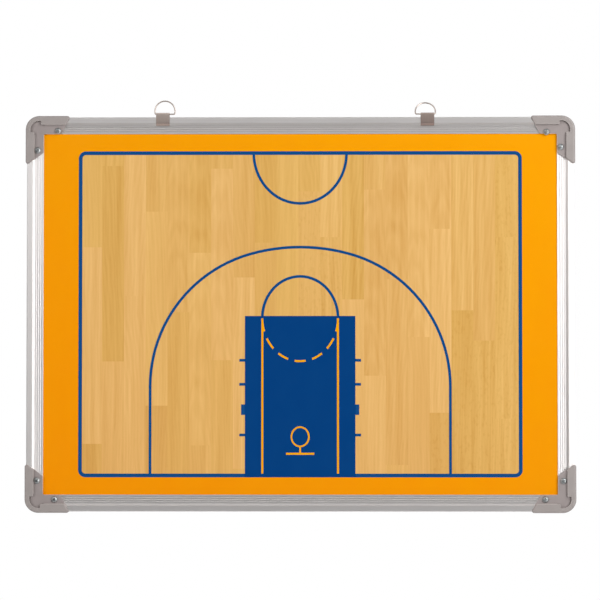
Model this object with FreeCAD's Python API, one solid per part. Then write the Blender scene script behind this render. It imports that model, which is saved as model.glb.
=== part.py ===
import FreeCAD, Part
import math
import os

Vector = FreeCAD.Vector

# A framed magnetic tactics board for basketball, hung by two rings on its top rail.
# The viewer looks along +y at the printed face. x runs to the right and z up. The origin is the
# middle of the lower edge, halfway through the frame's depth. Lengths are in millimetres.

# Whole board, over the corner caps
board_width = 600.0
board_height = 433.0

# Panel, from its face to its back
ink_thick = 0.1
film_thick = 0.2
sheet_thick = 0.4
core_thick = 7.0
panel_play = 0.1
panel_edge_gap = 0.5

# Rails: a hollow bead outside, whose face leans outwards, a slope, then a ribbed lip over the
# panel's edge
rail_wall = 1.2
bead_width = 8.9
bead_step = 2.5
bead_slope = 2.3
bead_lean = 0.6
bead_round = 1.5
bead_crest_round = 0.6
bead_back_round = 2.0
bead_step_round = 1.2
lip_width = 9.4
lip_thick = 0.9
lip_groove_count = 3
lip_groove_width = 1.3
lip_groove_depth = 0.45
rail_end_gap = 1.0

# Corner caps: an L-shaped shell over the ends of two rails
cap_wall = 1.3
cap_fit = 0.1
cap_step_wall = 0.6
cap_step_back = 0.7
cap_corner_round = 15.0
cap_edge_round = 2.0
leg_tall = 55.0
leg_tall_taper = 15.0
leg_wide = 50.0
leg_wide_taper = 11.5
leg_tip_round = 2.5
flange_corner_round = 1.5
lobe_rim = 5.4
lobe_reach_tall = 18.0
lobe_reach_wide = 17.1
lobe_shoulder_round = 0.8
bulkhead_thick = 1.5
tenon_length = 14.0
tenon_fit = 0.15

# Screws through the caps' flanges, set by hand a little off their nominal places
screw_head_radius = 3.5
screw_head_height = 2.3
screw_head_edge = 0.7
screw_shank_radius = 1.45
screw_length = 9.5
screw_point = 2.2
screw_hole_play = 0.15
screw_pilot_play = 0.05
recess_length = 3.4
recess_width = 0.9
recess_depth = 1.1
screw_end_margin = 5.0
screw_scatter = 3.0
screw_scatter_shares = {
    ("top", "left"): {"wide": (0.6, 0.6), "tall": (0.9, -0.5)},
    ("top", "right"): {"wide": (-0.77, 1.08), "tall": (-0.17, 0.43)},
    ("bottom", "left"): {"wide": (-0.4, 0.0), "tall": (0.0, -0.47)},
    ("bottom", "right"): {"wide": (0.0, 0.0), "tall": (-0.05, -0.32)},
}
screw_turn_shares = {
    ("top", "left"): {"wide": 0.12, "tall": 0.55},
    ("top", "right"): {"wide": 0.38, "tall": 0.81},
    ("bottom", "left"): {"wide": 0.67, "tall": 0.27},
    ("bottom", "right"): {"wide": 0.93, "tall": 0.46},
}

# Hanger clips: a bent strip round the bead of the top rail
clip_thick = 0.7
clip_width = 14.8
clip_fit = 0.15
clip_hook_gap = 0.3
clip_foot_round = 0.5
left_clip_place = -150.0
right_clip_place = 139.0

# Rings: a wire D whose straight bar turns in the clip's loop. The left one stands upright, and the
# right one leans back by an angle in degrees
ring_wire = 1.45
ring_width = 23.3
ring_side = 3.4
ring_corner_round = 1.4
ring_shift = 2.3
left_ring_lean = 0
right_ring_lean = 26
bar_rise = 3.2
bar_play = 0.1
loop_round = 0.7

# Court drawing, printed on the film: rises start at the middle of the base line, and drops at the
# middle of the line at the head of the court
court_side_margin = 38.3
court_end_margin = 18.9
court_corner_round = 7.8
wide_line = 4.0
thin_line = 3.0
centre_arc_width = 50.7
centre_arc_drop = 55.1
arch_leg = 163.6
arch_side_round = 149.9
arch_apex_drop = 102.9
arch_spring_rise = 97.1
key_half_width = 60.2
key_length = 173.7
lane_half_width = 41.2
lane_line = 2.2
lane_start_gap = 2.5
throw_arc_width = 41.3
throw_arc_rise = 45.3
throw_arc_fall = 47.2
throw_arc_drop = 2.1
dash_count = 7
dash_pitch_angle = 26.7
dash_angle = 16.6
tick_length = 6.1
tick_rises = (125.4, 99.2, 44.0)
block_width = 4.2
block_height = 11.4
block_rise = 71.6
hoop_rise = 42.1
hoop_half_width = 9.5
hoop_half_height = 10.5
hoop_line = 1.8
backboard_rise = 23.6
backboard_half_width = 15.4
backboard_line = 2.2

# How far a cutting tool reaches past what it cuts, and how near two points count as one
overrun = 4.0
same_point = 0.00001

# Sizes that follow from those above
cap_proud = cap_wall + cap_fit
frame_width = cap_proud + bead_width + lip_width
panel_thick = film_thick + 2 * sheet_thick + core_thick
slot_depth = panel_thick + panel_play
rail_depth = slot_depth + 2 * (lip_thick + bead_step)
rail_front = -rail_depth / 2
lip_front = rail_front + bead_step
slot_front = -slot_depth / 2
cap_front = rail_front - cap_fit - cap_wall
flange_front = lip_front - cap_fit - cap_wall
bead_edge = cap_proud + bead_width
rim_edge = bead_edge - cap_step_back
back_rim_edge = bead_edge + cap_fit + cap_step_wall
panel_edge = bead_edge + panel_edge_gap
rail_start = frame_width + rail_end_gap
pocket_start = rail_start - cap_fit
rail_top = board_height - cap_proud
court_half_width = board_width / 2 - frame_width - court_side_margin
court_half_height = board_height / 2 - frame_width - court_end_margin
court_middle = board_height / 2
court_base = court_middle - court_half_height
court_head = court_middle + court_half_height
base_line = court_base + wide_line / 2
head_line = court_head - wide_line / 2

SIDES = ("top", "bottom", "left", "right")
CORNERS = (("top", "left"), ("top", "right"), ("bottom", "left"), ("bottom", "right"))


def rounded_wire(corners):
    """Closed wire through the corners, each one rounded to its own radius."""
    bends = []
    for number, (corner, radius) in enumerate(corners):
        before = (corners[number - 1][0] - corner).normalize()
        after = (corners[(number + 1) % len(corners)][0] - corner).normalize()
        half_angle = before.getAngle(after) / 2
        reach = radius / math.tan(half_angle)
        crown = corner + (before + after).normalize() * (radius / math.sin(half_angle) - radius)
        bends.append((corner + before * reach, crown, corner + after * reach))
    edges = []
    for number, (start, crown, end) in enumerate(bends):
        last_end = bends[number - 1][2]
        if last_end.distanceToPoint(start) > same_point:
            edges.append(Part.LineSegment(last_end, start).toShape())
        if start.distanceToPoint(end) > same_point:
            edges.append(Part.Arc(start, crown, end).toShape())
    return Part.Wire(edges)


def rounded_face(corners):
    return Part.Face(rounded_wire(corners))


def sharp_face(points):
    return rounded_face([(point, 0) for point in points])


def mitre(before, here, after, shift):
    """Where a corner of a flat outline goes when both its sides move to their left by a shift."""
    first = (here - before).normalize()
    second = (after - here).normalize()
    left_first = Vector(-first.y, first.x, 0)
    left_second = Vector(-second.y, second.x, 0)
    return here + (left_first + left_second) * (shift / (1 + left_first.dot(left_second)))


def along_depth(depth):
    return Vector(0, depth, 0)


def post(x, z, radius, front, depth):
    """Round bar along the board's depth, for screw holes."""
    return Part.makeCylinder(radius, depth, Vector(x, front, z), Vector(0, 1, 0))


# Rails


def on_side(side, along, across, depth):
    """Point on one side of the board: along it, inwards from its outline, and in depth."""
    if side == "top":
        return Vector(along, depth, board_height - across)
    if side == "bottom":
        return Vector(along, depth, across)
    if side == "left":
        return Vector(across - board_width / 2, depth, along)
    return Vector(board_width / 2 - across, depth, along)


def side_span(side):
    """Where the rail of one side starts and ends."""
    if side in ("top", "bottom"):
        return rail_start - board_width / 2, board_width / 2 - rail_start
    return rail_start, board_height - rail_start


def bead_face(side, along, inset):
    """Section of the bead, drawn in by an inset: its skin, its hollow or the tenon in it."""
    outline = [
        (Vector(cap_proud, rail_front + bead_lean, 0), bead_round),
        (Vector(bead_edge - bead_slope, rail_front, 0), bead_crest_round),
        (Vector(bead_edge, lip_front, 0), 0),
        (Vector(bead_edge, -rail_front, 0), bead_step_round),
        (Vector(cap_proud, -rail_front, 0), bead_back_round),
    ]
    corners = []
    for number, (corner, radius) in enumerate(outline):
        before = outline[number - 1][0]
        after = outline[(number + 1) % len(outline)][0]
        spot = mitre(before, corner, after, inset)
        corners.append((on_side(side, along, spot.x, spot.y), max(radius - inset, 0)))
    return rounded_face(corners)


def strip_across(side, along, across_from, across_to, depth_from, depth_to):
    """Rectangle in a rail's section."""
    return sharp_face([
        on_side(side, along, across_from, depth_from),
        on_side(side, along, across_to, depth_from),
        on_side(side, along, across_to, depth_to),
        on_side(side, along, across_from, depth_to),
    ])


def make_rail(side):
    start, end = side_span(side)
    root = bead_edge - rail_wall
    front_lip = strip_across(side, start, root, frame_width, lip_front, slot_front)
    back_lip = strip_across(side, start, root, frame_width, -slot_front, -lip_front)
    section = bead_face(side, start, 0).fuse([front_lip, back_lip])
    section = section.cut(bead_face(side, start, rail_wall))
    for number in range(lip_groove_count):
        middle = bead_edge + lip_width * (number + 1) / (lip_groove_count + 1)
        groove = sharp_face([
            on_side(side, start, middle - lip_groove_width / 2, lip_front),
            on_side(side, start, middle + lip_groove_width / 2, lip_front),
            on_side(side, start, middle, lip_front + lip_groove_depth),
        ])
        section = section.cut(groove)
    direction = on_side(side, end, 0, 0) - on_side(side, start, 0, 0)
    rail = section.removeSplitter().extrude(direction)
    return rail.cut(screw_posts(screw_shank_radius + screw_hole_play, lip_front - overrun, slot_front))


# Corner caps


def in_corner(corner, inwards, down, depth):
    """Point in a corner: in from the upright edge, in from the level edge, and in depth."""
    level, upright = corner
    x = inwards - board_width / 2 if upright == "left" else board_width / 2 - inwards
    z = board_height - down if level == "top" else down
    return Vector(x, depth, z)


def corner_face(corner, depth, outline):
    return rounded_face([(in_corner(corner, inwards, down, depth), radius) for inwards, down, radius in outline])


def leg_pocket(corner, leg_side, inset, start, length):
    """Prism with the bead's section that runs from a corner along one leg."""
    foot = in_corner(corner, start, start, 0)
    tip = in_corner(corner, start + length, start + length, 0)
    level_leg = leg_side == corner[0]
    along = foot.x if level_leg else foot.z
    direction = Vector(tip.x - foot.x, 0, 0) if level_leg else Vector(0, 0, tip.z - foot.z)
    return bead_face(leg_side, along, inset).extrude(direction)


def make_cap(corner):
    reach = max(leg_tall, leg_wide) + overrun
    wide_end = leg_wide - leg_wide_taper
    tall_end = leg_tall - leg_tall_taper
    plan = corner_face(corner, cap_front, [
        (0, 0, cap_corner_round),
        (leg_wide, 0, leg_tip_round),
        (wide_end, frame_width, leg_tip_round),
        (frame_width, frame_width, flange_corner_round),
        (frame_width, tall_end, leg_tip_round),
        (0, leg_tall, leg_tip_round),
    ])
    blank = plan.extrude(along_depth(-2 * cap_front))
    rim_edges = [edge for edge in blank.Edges if abs(edge.BoundBox.YMin) > -cap_front - same_point
                 and edge.BoundBox.YLength < same_point]
    blank = blank.makeFillet(cap_edge_round, rim_edges)

    front_recess = corner_face(corner, cap_front - overrun, [
        (reach, rim_edge, 0),
        (lobe_reach_wide, rim_edge, lobe_shoulder_round),
        (lobe_reach_wide, lobe_rim, lobe_shoulder_round),
        (lobe_rim, lobe_rim, cap_corner_round - lobe_rim),
        (lobe_rim, lobe_reach_tall, lobe_shoulder_round),
        (rim_edge, lobe_reach_tall, lobe_shoulder_round),
        (rim_edge, reach, 0),
        (reach, reach, 0),
    ]).extrude(along_depth(flange_front - cap_front + overrun))
    back_recess = corner_face(corner, -flange_front, [
        (reach, back_rim_edge, 0),
        (back_rim_edge, back_rim_edge, flange_corner_round),
        (back_rim_edge, reach, 0),
        (reach, reach, 0),
    ]).extrude(along_depth(flange_front - cap_front + overrun))

    lip_face = lip_front - cap_fit
    bead_inside = cap_proud + rail_wall
    level_lips = corner_face(corner, lip_face, [
        (pocket_start, bead_inside, 0),
        (reach, bead_inside, 0),
        (reach, frame_width + overrun, 0),
        (pocket_start, frame_width + overrun, 0),
    ]).extrude(along_depth(-2 * lip_face))
    upright_lips = corner_face(corner, lip_face, [
        (bead_inside, pocket_start, 0),
        (frame_width + overrun, pocket_start, 0),
        (frame_width + overrun, reach, 0),
        (bead_inside, reach, 0),
    ]).extrude(along_depth(-2 * lip_face))
    panel_slot = corner_face(corner, slot_front, [
        (bead_edge, bead_edge, 0),
        (reach, bead_edge, 0),
        (reach, reach, 0),
        (bead_edge, reach, 0),
    ]).extrude(along_depth(slot_depth))
    hollow_end = pocket_start - bulkhead_thick
    hollow = corner_face(corner, lip_face, [
        (cap_wall, cap_wall, cap_corner_round - cap_wall),
        (hollow_end, cap_wall, 0),
        (hollow_end, bead_edge, 0),
        (bead_edge, bead_edge, 0),
        (bead_edge, hollow_end, 0),
        (cap_wall, hollow_end, 0),
    ]).extrude(along_depth(-2 * lip_face))

    cap = blank.cut([front_recess, back_recess, level_lips, upright_lips, panel_slot, hollow])
    cap = cap.cut([leg_pocket(corner, side, -cap_fit, pocket_start, reach) for side in corner])
    tenon_inset = rail_wall + tenon_fit
    tenon_reach = rail_start + tenon_length - hollow_end
    cap = cap.fuse([leg_pocket(corner, side, tenon_inset, hollow_end, tenon_reach) for side in corner])
    cap = cap.removeSplitter()
    return cap.cut(screw_posts(screw_shank_radius + screw_hole_play, cap_front - overrun, lip_front))


# Screws


def screw_places():
    """Each screw's corner, leg, x and z."""
    places = []
    nominal_across = (rim_edge + frame_width) / 2
    leg_ends = {"wide": leg_wide - leg_wide_taper, "tall": leg_tall - leg_tall_taper}
    for corner in CORNERS:
        for leg, leg_end in leg_ends.items():
            along_share, across_share = screw_scatter_shares[corner][leg]
            along = leg_end - screw_end_margin + screw_scatter * along_share
            across = nominal_across + screw_scatter * across_share
            spot = (along, across) if leg == "wide" else (across, along)
            point = in_corner(corner, spot[0], spot[1], 0)
            places.append((corner, leg, point.x, point.z))
    return places


def screw_posts(radius, front, back):
    return [post(x, z, radius, front, back - front) for corner, leg, x, z in screw_places()]


def make_screw(corner, leg, x, z):
    seat = flange_front
    crown = screw_head_height - screw_head_edge
    dome_radius = (screw_head_radius ** 2 + crown ** 2) / (2 * crown)
    half_way = screw_head_radius / 2
    dome_drop = dome_radius - math.sqrt(dome_radius ** 2 - half_way ** 2)
    top = Vector(x, seat - screw_head_height, z)
    shoulder = Vector(x + half_way, seat - screw_head_height + dome_drop, z)
    edge = Vector(x + screw_head_radius, seat - screw_head_edge, z)
    under_edge = Vector(x + screw_head_radius, seat, z)
    neck = Vector(x + screw_shank_radius, seat, z)
    shank_end = Vector(x + screw_shank_radius, seat + screw_length - screw_point, z)
    tip = Vector(x, seat + screw_length, z)
    outline = [Part.Arc(top, shoulder, edge).toShape()]
    corners = (edge, under_edge, neck, shank_end, tip, top)
    for first, second in zip(corners, corners[1:]):
        outline.append(Part.LineSegment(first, second).toShape())
    turned = Part.Face(Part.Wire(outline)).revolve(top, Vector(0, 1, 0), 360)
    screw = turned if turned.ShapeType == "Solid" else turned.Solids[0]
    arms = []
    for length, width in ((recess_length, recess_width), (recess_width, recess_length)):
        low = Vector(x - length / 2, seat - screw_head_height - overrun, z - width / 2)
        arms.append(Part.makeBox(length, overrun + recess_depth, width, low))
    cross = arms[0].fuse(arms[1])
    cross.rotate(top, Vector(0, 1, 0), 90 * screw_turn_shares[corner][leg])
    return screw.cut(cross)


# Panel


def panel_board(front, depth):
    """Plain board of the panel's size, at one place in its depth."""
    width = board_width - 2 * panel_edge
    height = board_height - 2 * panel_edge
    return Part.makeBox(width, depth, height, Vector(-width / 2, front, panel_edge))


def court_plate(front, depth, grow):
    """The court's rectangle with round corners, grown from the boundary line's outer edge."""
    wide = court_half_width + grow
    high = court_half_height + grow
    radius = court_corner_round + grow
    return rounded_face([
        (Vector(-wide, front, court_middle - high), radius),
        (Vector(wide, front, court_middle - high), radius),
        (Vector(wide, front, court_middle + high), radius),
        (Vector(-wide, front, court_middle + high), radius),
    ]).extrude(along_depth(depth))


# Court drawing, in ink on the film's face


def ink_front():
    return slot_front - ink_thick


def ink_bar(x_from, x_to, z_from, z_to):
    low = Vector(min(x_from, x_to), ink_front(), z_from)
    return Part.makeBox(abs(x_to - x_from), ink_thick, z_to - z_from, low)


def ink_oval(half_width, half_height, middle):
    """Filled oval on the court's middle line."""
    centre = Vector(0, ink_front(), middle)
    side = centre + Vector(half_width, 0, 0)
    top = centre + Vector(0, 0, half_height)
    far, near = (side, top) if half_width > half_height else (top, side)
    curve = Part.Ellipse(far, near, centre)
    return Part.Face(Part.Wire(curve.toShape())).extrude(along_depth(ink_thick))


def ink_ring(half_width, half_height, middle, line):
    outside = ink_oval(half_width + line / 2, half_height + line / 2, middle)
    return outside.cut(ink_oval(half_width - line / 2, half_height - line / 2, middle))


def arch_plate(grow):
    """The three-point arch as a filled plate: two legs, two side arcs and a flatter top arc."""
    leg = arch_leg + grow
    side_round = arch_side_round + grow
    spring = base_line + arch_spring_rise
    apex = head_line - arch_apex_drop + grow
    side_middle = leg - side_round
    height = apex - spring
    top_round = (height ** 2 + side_middle ** 2 - side_round ** 2) / (2 * (height - side_round))
    top_middle = apex - top_round
    meeting = math.atan2(spring - top_middle, side_middle)
    side_bow = meeting / 2
    front = ink_front()

    def on_arch(sign, middle_x, middle_z, radius, angle):
        return Vector(sign * (middle_x + radius * math.cos(angle)), front, middle_z + radius * math.sin(angle))

    bends = {}
    for sign in (1, -1):
        foot = Vector(sign * leg, front, spring)
        bow = on_arch(sign, side_middle, spring, side_round, side_bow)
        joint = on_arch(sign, 0, top_middle, top_round, meeting)
        bends[sign] = (foot, bow, joint)
    crown = Vector(0, front, apex)
    right_base = Vector(leg, front, court_base)
    left_base = Vector(-leg, front, court_base)
    edges = [
        Part.LineSegment(right_base, bends[1][0]).toShape(),
        Part.Arc(*bends[1]).toShape(),
        Part.Arc(bends[1][2], crown, bends[-1][2]).toShape(),
        Part.Arc(*reversed(bends[-1])).toShape(),
        Part.LineSegment(bends[-1][0], left_base).toShape(),
        Part.LineSegment(left_base, right_base).toShape(),
    ]
    return Part.Face(Part.Wire(edges)).extrude(along_depth(ink_thick))


def key_top():
    return base_line + key_length


def make_lane_lines():
    """The orange ink: lane lines, the dashed half circle, the hoop and its backboard."""
    lane_top = key_top() - lane_start_gap
    strokes = []
    for sign in (1, -1):
        inner = sign * (lane_half_width - lane_line / 2)
        outer = sign * (lane_half_width + lane_line / 2)
        strokes.append(ink_bar(inner, outer, court_base + wide_line, lane_top))
    oval_middle = key_top() - throw_arc_drop
    ring = ink_ring(throw_arc_width, throw_arc_fall, oval_middle, lane_line)
    centre = Vector(0, ink_front(), oval_middle)
    for number in range(dash_count):
        angle = 270 + dash_pitch_angle * (number - (dash_count - 1) / 2)
        rays = [math.radians(angle - dash_angle / 2), math.radians(angle + dash_angle / 2)]
        spokes = [Vector(throw_arc_width * math.cos(ray), 0, throw_arc_fall * math.sin(ray)) for ray in rays]
        wedge = sharp_face([centre] + [centre + spoke * 2 for spoke in spokes])
        strokes.append(ring.common(wedge.extrude(along_depth(ink_thick))))
    hoop_middle = base_line + hoop_rise
    backboard = base_line + backboard_rise
    strokes.append(ink_ring(hoop_half_width, hoop_half_height, hoop_middle, hoop_line))
    stem_top = hoop_middle - hoop_half_height
    strokes.append(ink_bar(-hoop_line / 2, hoop_line / 2, backboard, stem_top))
    board_low = backboard - backboard_line / 2
    board_high = backboard + backboard_line / 2
    strokes.append(ink_bar(-backboard_half_width, backboard_half_width, board_low, board_high))
    return strokes[0].fuse(strokes[1:]).removeSplitter()


def make_court_lines():
    """The blue ink: boundary, centre arc, three-point arch, throw arc, key and lane marks."""
    inside = court_plate(ink_front(), ink_thick, -wide_line)
    boundary = court_plate(ink_front(), ink_thick, 0).cut(inside)
    centre_arc = ink_ring(centre_arc_width, centre_arc_drop, head_line, thin_line).common(inside)
    arch = arch_plate(thin_line / 2).cut(arch_plate(-thin_line / 2))
    throw_ring = ink_ring(throw_arc_width, throw_arc_rise, key_top() - throw_arc_drop, thin_line)
    above_key = ink_bar(-court_half_width, court_half_width, key_top() - wide_line, court_head)
    marks = [boundary, centre_arc, arch, throw_ring.common(above_key)]
    marks.append(ink_bar(-key_half_width, key_half_width, court_base, key_top()))
    for sign in (1, -1):
        edge = sign * key_half_width
        for rise in tick_rises:
            middle = base_line + rise
            low = middle - thin_line / 2
            marks.append(ink_bar(edge, edge + sign * tick_length, low, middle + thin_line / 2))
        block_low = base_line + block_rise - block_height / 2
        marks.append(ink_bar(edge, edge + sign * block_width, block_low, block_low + block_height))
    drawing = marks[0].fuse(marks[1:]).removeSplitter()
    return drawing.cut(make_lane_lines())


# Hanger clips and rings


def strip_face(x, path, thickness):
    """Section of a bent strip: the path is its right-hand face, given as depth, height and radius."""
    spots = [Vector(depth, height, 0) for depth, height, radius in path]
    spots = [spots[0] * 2 - spots[1]] + spots + [spots[-1] * 2 - spots[-2]]
    near = []
    far = []
    for number, (depth, height, radius) in enumerate(path):
        before, here, after = spots[number:number + 3]
        outer = mitre(before, here, after, thickness)
        turns_left = (here - before).cross(after - here).z > 0
        far_radius = 0 if radius == 0 else radius - thickness if turns_left else radius + thickness
        near.append((Vector(x, depth, height), radius))
        far.append((Vector(x, outer.x, outer.y), far_radius))
    return rounded_face(near + far[::-1])


def bar_depth():
    return rail_front - clip_fit + bar_play + ring_wire / 2


def make_clip(place):
    """Strip bent along the front slope, looped over the ring's bar and hooked under the back step."""
    front = rail_front - clip_fit
    back = -rail_front + clip_fit
    foot = Vector(lip_front, rail_top - bead_width, 0)
    crest = Vector(rail_front, rail_top - bead_width + bead_slope, 0)
    bend = mitre(foot, crest, Vector(rail_front, rail_top, 0), clip_fit)
    up_slope = (crest - foot).normalize()
    front_tip = foot + Vector(-up_slope.y, up_slope.x, 0) * clip_fit + up_slope * clip_hook_gap
    hook_height = rail_top - bead_width - clip_fit
    hook_tip = -lip_front + clip_hook_gap
    loop_top = rail_top + bar_rise + ring_wire / 2 + bar_play
    loop_back = front + ring_wire + 2 * bar_play
    seat = rail_top + clip_fit
    path = [
        (front_tip.x, front_tip.y, 0),
        (bend.x, bend.y, bead_crest_round + clip_fit),
        (front, loop_top, loop_round),
        (loop_back, loop_top, loop_round),
        (loop_back, seat, clip_foot_round + clip_thick),
        (back, seat, bead_back_round + clip_fit),
        (back, hook_height, bead_step_round + clip_fit),
        (hook_tip, hook_height, 0),
    ]
    return strip_face(place - clip_width / 2, path, clip_thick).extrude(Vector(clip_width, 0, 0))


def make_ring(place, lean):
    """Wire D whose bar lies in the clip's loop and whose bow leans back."""
    half_width = (ring_width - ring_wire) / 2
    angle = math.radians(lean)
    bow = Vector(0, math.sin(angle), math.cos(angle)) * (ring_side + half_width)
    left = Vector(place - half_width, bar_depth(), rail_top + bar_rise)
    right = Vector(place + half_width, bar_depth(), rail_top + bar_rise)
    spine = rounded_wire([
        (left, ring_corner_round),
        (right, ring_corner_round),
        (right + bow, half_width),
        (left + bow, half_width),
    ])
    start = spine.Edges[0].firstVertex().Point
    direction = spine.Edges[0].tangentAt(spine.Edges[0].FirstParameter)
    section = Part.Wire(Part.Circle(start, direction, ring_wire / 2).toShape())
    return spine.makePipeShell([section], True, False)


# The board


def make_board():
    nodes = {}
    for side in SIDES:
        nodes[side + "_rail"] = make_rail(side)
    for corner in CORNERS:
        name = "_".join(corner)
        nodes[name + "_cap"] = make_cap(corner)
        screws = [make_screw(*place) for place in screw_places() if place[0] == corner]
        nodes[name + "_screws"] = Part.makeCompound(screws)

    sheet_front = slot_front + film_thick
    core_front = sheet_front + sheet_thick
    back_front = core_front + core_thick
    pilot = screw_shank_radius + screw_pilot_play
    pilots = screw_posts(pilot, slot_front - overrun, flange_front + screw_length)
    nodes["face_sheet"] = panel_board(sheet_front, sheet_thick).cut(pilots)
    nodes["core_board"] = panel_board(core_front, core_thick).cut(pilots)
    nodes["back_sheet"] = panel_board(back_front, sheet_thick)
    floor = court_plate(slot_front, film_thick, -wide_line / 2)
    nodes["border_print"] = panel_board(slot_front, film_thick).cut([floor] + pilots)
    nodes["floor_print"] = floor
    nodes["court_lines"] = make_court_lines()
    nodes["lane_lines"] = make_lane_lines()

    nodes["left_clip"] = make_clip(left_clip_place)
    nodes["right_clip"] = make_clip(right_clip_place)
    nodes["left_ring"] = make_ring(left_clip_place + ring_shift, left_ring_lean)
    nodes["right_ring"] = make_ring(right_clip_place - ring_shift, right_ring_lean)
    return nodes


os.makedirs("parts", exist_ok=True)
for node, shape in make_board().items():
    shape.exportStep("parts/" + node + ".step")
    print(node, len(shape.Solids), "solid(s)", round(shape.Volume, 1), "mm3, valid", shape.isValid())
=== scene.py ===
# %% [markdown]
# # A basketball tactics board, dressed for its portrait
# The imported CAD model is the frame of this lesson: it already has every rail, cap, screw, clip and ring at
# its real size, in metres, with the viewer looking along +Y at the printed court. The lesson adds what the
# solids can't show: finishes, the printed wood, fuller screw heads, light and a camera.

# %% Load the frame
import math
import random

import bmesh
import bpy
from mathutils import Matrix, Vector


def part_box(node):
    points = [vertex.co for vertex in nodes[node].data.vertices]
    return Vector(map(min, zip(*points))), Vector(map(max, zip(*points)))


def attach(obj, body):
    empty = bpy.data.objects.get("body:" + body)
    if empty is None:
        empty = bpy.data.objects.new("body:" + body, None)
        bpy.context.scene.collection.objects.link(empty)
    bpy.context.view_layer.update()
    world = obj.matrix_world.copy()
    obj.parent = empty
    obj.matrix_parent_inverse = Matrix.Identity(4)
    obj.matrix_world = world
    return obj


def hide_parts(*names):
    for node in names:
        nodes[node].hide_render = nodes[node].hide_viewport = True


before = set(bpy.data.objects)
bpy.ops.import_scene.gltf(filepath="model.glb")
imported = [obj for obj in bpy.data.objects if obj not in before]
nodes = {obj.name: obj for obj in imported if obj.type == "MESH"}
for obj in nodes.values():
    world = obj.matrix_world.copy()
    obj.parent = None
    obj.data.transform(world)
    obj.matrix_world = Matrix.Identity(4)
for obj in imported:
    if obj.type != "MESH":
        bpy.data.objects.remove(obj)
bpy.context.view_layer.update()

MM = 0.001
scene = bpy.context.scene

# %% [markdown]
# ## Camera
# The board was photographed almost squarely, with a long lens, from a little below and to the right of its
# middle. A camera can be placed by eye, but four corners of the printed boundary line are enough to work its
# place and turn out exactly, so those numbers are used here: where it stands, and how far it turns from +Y.

# %% Camera
CAMERA_PLACE = Vector((0.0293, -2.730, 0.1471))
CAMERA_LENS = 150.0
CAMERA_YAW = math.radians(0.619)
CAMERA_PITCH = math.radians(1.778)


def new_object(name, data):
    """An object at the origin, in the scene."""
    made = bpy.data.objects.new(name, data)
    scene.collection.objects.link(made)
    return made


camera = new_object("portrait_camera", bpy.data.cameras.new("portrait_lens"))
camera.data.lens = CAMERA_LENS
heading = Matrix.Rotation(CAMERA_YAW, 4, "Z") @ Matrix.Rotation(math.pi / 2 + CAMERA_PITCH, 4, "X")
camera.matrix_world = Matrix.Translation(CAMERA_PLACE) @ heading
scene.camera = camera
print("camera at", [round(c, 3) for c in CAMERA_PLACE], "lens", CAMERA_LENS, "mm")

# %% [markdown]
# ## Small tools
# Every material and every tree of geometry nodes is written with the same small function. It adds one node,
# gives it its settings, and fills each input with a value, with a link from another node, or with several
# links where a socket takes more than one. A node that is given as a source stands for the first of its
# outputs that is in use, and a hex code stands for its colour, so each line says only what matters.

# %% Small tools
def colour(code):
    """Linear colour of an sRGB hex value."""
    shares = [int(code[start:start + 2], 16) / 255 for start in (1, 3, 5)]
    return tuple(s / 12.92 if s <= 0.04045 else ((s + 0.055) / 1.055) ** 2.4 for s in shares) + (1.0,)


def fill(tree, node, inputs):
    """Gives a node's inputs their values and links."""
    for name, sources in inputs.items():
        for source in sources if isinstance(sources, list) else [sources]:
            if isinstance(source, bpy.types.Node):
                source = next(output for output in source.outputs if output.enabled)
            if isinstance(source, bpy.types.NodeSocket):
                tree.links.new(source, node.inputs[name])
            else:
                node.inputs[name].default_value = colour(source) if isinstance(source, str) else source


def add(tree, kind, inputs=None, **settings):
    """Adds one node with its settings, values and links."""
    node = tree.nodes.new(kind)
    for name, value in settings.items():
        setattr(node, name, value)
    fill(tree, node, inputs or {})
    return node


def empty_tree(owner):
    """The node tree of a material or a world, cleared."""
    owner.use_nodes = True
    owner.node_tree.nodes.clear()
    return owner.node_tree


# %% [markdown]
# ## Light
# The photograph has a pure white ground and no cast shadow: two large soft lamps stand in front, the stronger
# one on the right and both above the middle, a third lights the back, and the room is bright. The sky
# answers 1, plain white, to the camera and to reflections, and gives a lower level as light. Metal is drawn
# by what it mirrors. One lamp could both light it and be mirrored in it, but here the two are set apart, so
# that each can be tuned alone: the lamps give light and no image, and two white cards, a tall one on the
# right and a wide one above, are mirrored in the metal and don't light the print.

# %% Sky
SKY_LIGHT = 0.30
WHITE = "#FFFFFF"


def seen_directly(tree):
    """1 where a ray comes from the camera, a reflection or a clear body, and 0 for light."""
    path = add(tree, "ShaderNodeLightPath").outputs
    mirrored = add(tree, "ShaderNodeMath", {0: path["Is Camera Ray"], 1: path["Is Glossy Ray"]},
                   operation="MAXIMUM")
    return add(tree, "ShaderNodeMath", {0: mirrored, 1: path["Is Transmission Ray"]}, operation="MAXIMUM")


scene.world = bpy.data.worlds.new("white_room")
tree = empty_tree(scene.world)
dim = add(tree, "ShaderNodeBackground", {"Color": WHITE, "Strength": SKY_LIGHT})
bright = add(tree, "ShaderNodeBackground", {"Color": WHITE, "Strength": 1.0})
both = add(tree, "ShaderNodeMixShader", {0: seen_directly(tree), 1: dim, 2: bright})
add(tree, "ShaderNodeOutputWorld", {"Surface": both})
scene.view_settings.view_transform = "Standard"
print("sky:", SKY_LIGHT, "as light, 1 where it is seen")

# %% Lamps
AIM = Vector((0, 0, 0.22))


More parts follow.
